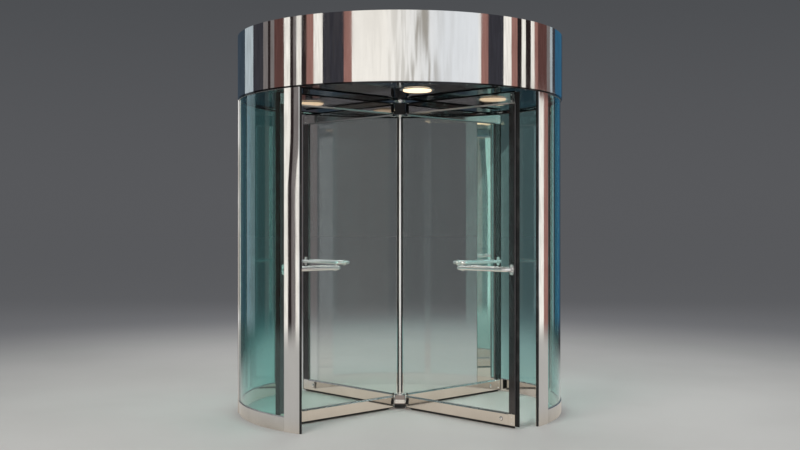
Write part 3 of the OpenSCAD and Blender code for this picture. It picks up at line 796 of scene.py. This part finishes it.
def cover_joints():
    """Lapped joints across the canopy's cover, with screws along them and round the cover's rim.

    A rib at y reaches to x = sqrt(reach^2 - (|y| + half its width)^2).
    """
    reach = CANOPY_R - COVER_INSET
    parts = []
    for y in LAP_ROWS:
        x = math.sqrt(reach ** 2 - (abs(y) + LAP_HALF_W) ** 2)
        parts.append(straight(LAP_RIB, [x, y, COVER_Z], [-x, y, COVER_Z], [0, 1, 0], [0, 0, 1]))
        for s in np.arange(-x + LAP_SCREW_PITCH / 4, x, LAP_SCREW_PITCH):
            parts.append(set_on(cap_screw(*COVER_SCREW), [s, y, COVER_Z + LAP_T], [0, 0, 1]))
    for degrees in RIM_SCREW_ANGLES:
        spot = on_circle(reach - RIM_SCREW_INSET, COVER_Z, degrees)
        parts.append(set_on(cap_screw(*COVER_SCREW), spot, [0, 0, 1]))
    mixed_piece("cover_joints", parts, galvanised, "enclosure")


for wing in WINGS:
    wing_gaskets(wing)
    wing_screws(wing)
    wing_locks(wing)
    pivot_caps(wing)
    sweep_carriers_painted_shade(wing)
wall_gaskets()
hub_plates("bottom_hub_plates", LOW_PLATE_Z, LOW_ARM_SCREWS, plate_steel)
# The top hub's plates and arm screws take the black finish as painted shade; the bottom hub's are bright
# steel.
hub_plates("top_hub_plates", HIGH_PLATE_Z, HIGH_ARM_SCREWS, black_metal)
hub_skirts_painted_shade()
ceiling_screws()
cover_joints()


def studio_floor():
    """A flat pale disc: rings of points at growing radii, wide enough to meet the backdrop."""
    steps = 96
    radii = np.array([0.01, 3.0, 8.0, 20.0, 90.0])
    t = circle(steps)
    ring = np.column_stack([np.cos(t), np.sin(t), np.zeros(steps)])
    points = np.concatenate([ring * r for r in radii])
    faces = ring_faces(len(radii), steps)[:, ::-1]
    mesh = bpy.data.meshes.new("studio_floor")
    mesh.from_pydata(points.tolist(), [], faces.tolist() + [list(range(steps))])
    mesh.materials.append(pale_floor())
    obj = bpy.data.objects.new("studio_floor", mesh)
    bpy.context.scene.collection.objects.link(obj)
    mesh.update()


studio_floor()

# Reflector cards round the studio, seen only in polished metal and glass. A card is the azimuth where it
# starts, in degrees to the right of the camera's side as the camera sees it, and its tone. It ends where the
# next one starts.
WHITE = (1.09, 1.06, 1.00)
PALE = (0.50, 0.58, 0.63)
GREY = (0.22, 0.20, 0.20)
SLATE = (0.045, 0.065, 0.090)
FLAG = (0.045, 0.045, 0.056)
DARK = (0.028, 0.020, 0.021)
RUSSET = (0.37, 0.19, 0.165)
BROWN = (0.125, 0.060, 0.055)
BLUE = (0.035, 0.130, 0.235)
CARDS = [
    (-180.0, SLATE), (-138.5, PALE), (-122.5, FLAG), (-108.7, GREY), (-103.3, DARK), (-99.9, GREY),
    (-97.0, BROWN), (-85.8, WHITE), (-81.4, DARK), (-77.4, GREY), (-74.7, WHITE), (-71.6, DARK),
    (-66.5, RUSSET), (-60.8, WHITE), (-54.1, FLAG), (-38.9, RUSSET), (-33.0, WHITE), (54.9, RUSSET),
    (60.9, FLAG), (74.2, WHITE), (81.2, RUSSET), (86.6, DARK), (90.7, WHITE), (94.9, DARK),
    (100.2, WHITE), (104.6, RUSSET), (109.0, BROWN), (121.3, GREY), (127.9, PALE), (132.0, FLAG),
    (137.8, BLUE), (160.0, SLATE),
]
# Low down, where the posts mirror them, the cards stand nearer, so they spread wider. Each row is the share
# of the azimuth, the heights in degrees where that is full and where it ends, and the azimuths where it
# starts, is full, fades and ends.
NEAR = (
    (0.025, 1.5, 5.0, -60.0, -66.0, -88.0, -93.0),
    (0.112, 6.35, 6.75, 98.0, 110.0, 128.0, 150.0),
)
# How the cards are streaked, mottled and cooled, by the share of a full turn, where 0.5 is the camera's side.
# STREAKED and MOTTLED say how strongly, and COOLED is a colour to multiply by. MOTTLE is the mottle's own
# tones, by the noise.
STREAKED = [
    (0.0, 0.0), (0.440, 0.06), (0.470, 0.18), (0.508, 0.36), (0.526, 0.85), (0.556, 0.75), (0.578, 0.18),
    (0.640, 0.05), (0.650, 0.0),
]
MOTTLED = [(0.0, 1.0), (0.403, 1.0), (0.405, 0.18), (0.652, 0.18), (0.654, 1.0)]
COOL = (0.84, 0.90, 1.0)
COOLED = [(0.0, 1.0), (0.470, 1.0), (0.580, COOL), (0.652, COOL), (0.653, 1.0)]
MOTTLE = [(0.0, (0.80, 0.79, 0.78)), (0.36, (0.80, 0.79, 0.78)), (0.62, 1.06)]
STREAK_TONE = (0.26, 0.23, 0.18)
# What is mirrored over the cards, the light on the surfaces, and the backdrop low down and high up.
OVER_TONE = (0.62, 0.63, 0.65)
SOFT_LIGHT = (0.42, 0.43, 0.44)
BACKDROP_LOW = (0.097, 0.099, 0.106)
BACKDROP_HIGH = (0.055, 0.06, 0.066)

# The photograph's eye: degrees to the right of the entry's middle, and metres from the axis and the floor.
CAMERA_AZIMUTH = -9.4
CAMERA_AWAY = 8.6
CAMERA_Z = 1.50
LENS_MM = 48.3
SENSOR_MM = 36.0
LENS_SHIFT = -0.0055


def studio_world():
    """Soft even light; polished surfaces see the ring of cards, and the eye sees a plain backdrop."""
    world = bpy.data.worlds.new("studio")
    bpy.context.scene.world = world
    world.use_nodes = True
    f = Nodes(world.node_tree)
    place = f.node("ShaderNodeTexCoord")
    toward = f.axes(place.outputs["Generated"])

    def faded(source, full, gone):
        """A smooth fall from 1 to 0 as the source goes from one number to the other."""
        return f.ranged(source, full, gone, 1.0, 0.0)

    # Azimuth from the camera's side, -180 to 180 degrees, and height: low down in degrees, and as a share.
    around = f.maths("ARCTAN2", toward["X"], f.maths("MULTIPLY", toward["Y"], -1.0))
    degrees = f.maths("SUBTRACT", f.maths("MULTIPLY", around, 180.0 / math.pi), CAMERA_AZIMUTH)
    wrapped = f.maths("SUBTRACT", f.maths("FLOORED_MODULO", f.maths("ADD", degrees, 180.0), 360.0), 180.0)
    lift = f.maths("MULTIPLY", toward["Z"], 180.0 / math.pi)
    height = f.maths("ADD", f.maths("DIVIDE", f.maths("ARCSINE", toward["Z"]), math.pi), 0.5)
    nearer = 1.0
    for share, full, gone, start, whole, fading, end in NEAR:
        beside = f.maths("MULTIPLY", faded(wrapped, whole, start), faded(wrapped, fading, end))
        here = f.maths("MULTIPLY", faded(lift, full, gone), beside)
        nearer = f.maths("SUBTRACT", nearer, f.maths("MULTIPLY", here, share))
    turn = f.maths("ADD", f.maths("DIVIDE", f.maths("MULTIPLY", wrapped, nearer), 360.0), 0.5)

    # The cards, with mottle, a cooler right half and upright streaks of shade.
    cards = f.ramp(turn, [((a + 180.0) / 360.0, tone) for a, tone in CARDS], "CONSTANT")
    spot = f.node("ShaderNodeCombineXYZ")
    f.link(f.maths("MULTIPLY", degrees, 0.25), spot.inputs["X"])
    f.link(f.maths("MULTIPLY", height, 40.0), spot.inputs["Y"])
    speck = f.ramp(f.cloud(spot.outputs["Vector"], 3.2, 4.0), MOTTLE, "LINEAR")
    cards = f.mixed(f.ramp(turn, MOTTLED, "LINEAR"), cards, speck, "MULTIPLY")
    cards = f.mixed(1.0, cards, f.ramp(turn, COOLED, "LINEAR"), "MULTIPLY")
    grain = f.ramp(f.cloud(spot.outputs["Vector"], 1.0, 3.0), [(0.0, 0.0), (0.45, 0.0), (0.62, 1.0)], "EASE")
    cards = f.mixed(f.maths("MULTIPLY", grain, f.ramp(turn, STREAKED, "LINEAR")), cards, STREAK_TONE)
    over = f.ramp(height, [(0.0, 0.0), (0.60, 0.0), (0.68, 1.0)], "EASE")
    seen = f.mixed(over, cards, OVER_TONE)

    # What the eye sees, what lights the surfaces, and what polished surfaces see.
    backdrop = f.ramp(height, [(0.0, BACKDROP_LOW), (0.5, BACKDROP_LOW), (0.62, BACKDROP_HIGH)], "EASE")
    path = f.node("ShaderNodeLightPath")
    plain = f.mixed(path.outputs["Is Diffuse Ray"], backdrop, SOFT_LIGHT)
    shown = f.mixed(f.maths("MINIMUM", path.outputs["Glossy Depth"], 1.0), plain, seen)
    light = f.node("ShaderNodeBackground")
    f.link(shown, light.inputs["Color"])
    out = f.node("ShaderNodeOutputWorld")
    f.link(light.outputs["Background"], out.inputs["Surface"])


studio_world()

# Soft square lamps: place, the point that each is aimed at, watts and tone.
LAMP_SIZE = 4.0
LAMPS = {
    "key_lamp": ((-5.0, -6.5, 7.0), (0.0, 0.0, 1.2), 400.0, (1.0, 0.98, 0.95)),
    "fill_lamp": ((6.5, -4.0, 5.5), (0.0, 0.0, 1.2), 150.0, (0.95, 0.98, 1.0)),
    "back_lamp": ((1.5, 7.0, 6.5), (0.0, 0.0, 1.5), 200.0, (1.0, 1.0, 1.0)),
}


def area_light(name, place, aim, watts, tone):
    """A soft square lamp at a place, aimed at a point, and not itself mirrored in the metal."""
    data = bpy.data.lights.new(name, "AREA")
    data.shape = "SQUARE"
    data.size = LAMP_SIZE
    data.energy = watts
    data.color = tone
    obj = bpy.data.objects.new(name, data)
    obj.location = place
    away = np.asarray(place, dtype=float) - np.asarray(aim, dtype=float)
    obj.visible_glossy = False
    obj.rotation_euler = (
        math.atan2(math.hypot(away[0], away[1]), away[2]),
        0.0,
        math.atan2(away[1], away[0]) + math.pi / 2,
    )
    bpy.context.scene.collection.objects.link(obj)


for lamp_name, (lamp_place, lamp_aim, lamp_watts, lamp_tone) in LAMPS.items():
    area_light(lamp_name, lamp_place, lamp_aim, lamp_watts, lamp_tone)


def photo_camera():
    """Eye height in front of the entry, a little to its left, level, with a lens that fills the frame."""
    data = bpy.data.cameras.new("camera")
    data.sensor_width = SENSOR_MM
    data.lens = LENS_MM
    data.shift_y = LENS_SHIFT
    data.clip_start = 0.05
    data.clip_end = 300.0
    obj = bpy.data.objects.new("camera", data)
    a = math.radians(CAMERA_AZIMUTH)
    obj.location = (CAMERA_AWAY * math.sin(a), -CAMERA_AWAY * math.cos(a), CAMERA_Z)
    obj.rotation_euler = (math.pi / 2, 0.0, a)
    bpy.context.scene.collection.objects.link(obj)
    bpy.context.scene.camera = obj


photo_camera()

LIGHT_BOUNCES = 24
MIRROR_BOUNCES = 8
scene = bpy.context.scene
scene.view_settings.view_transform = "Standard"
scene.cycles.max_bounces = LIGHT_BOUNCES
scene.cycles.transmission_bounces = LIGHT_BOUNCES
scene.cycles.transparent_max_bounces = LIGHT_BOUNCES
scene.cycles.glossy_bounces = MIRROR_BOUNCES

bpy.context.view_layer.update()
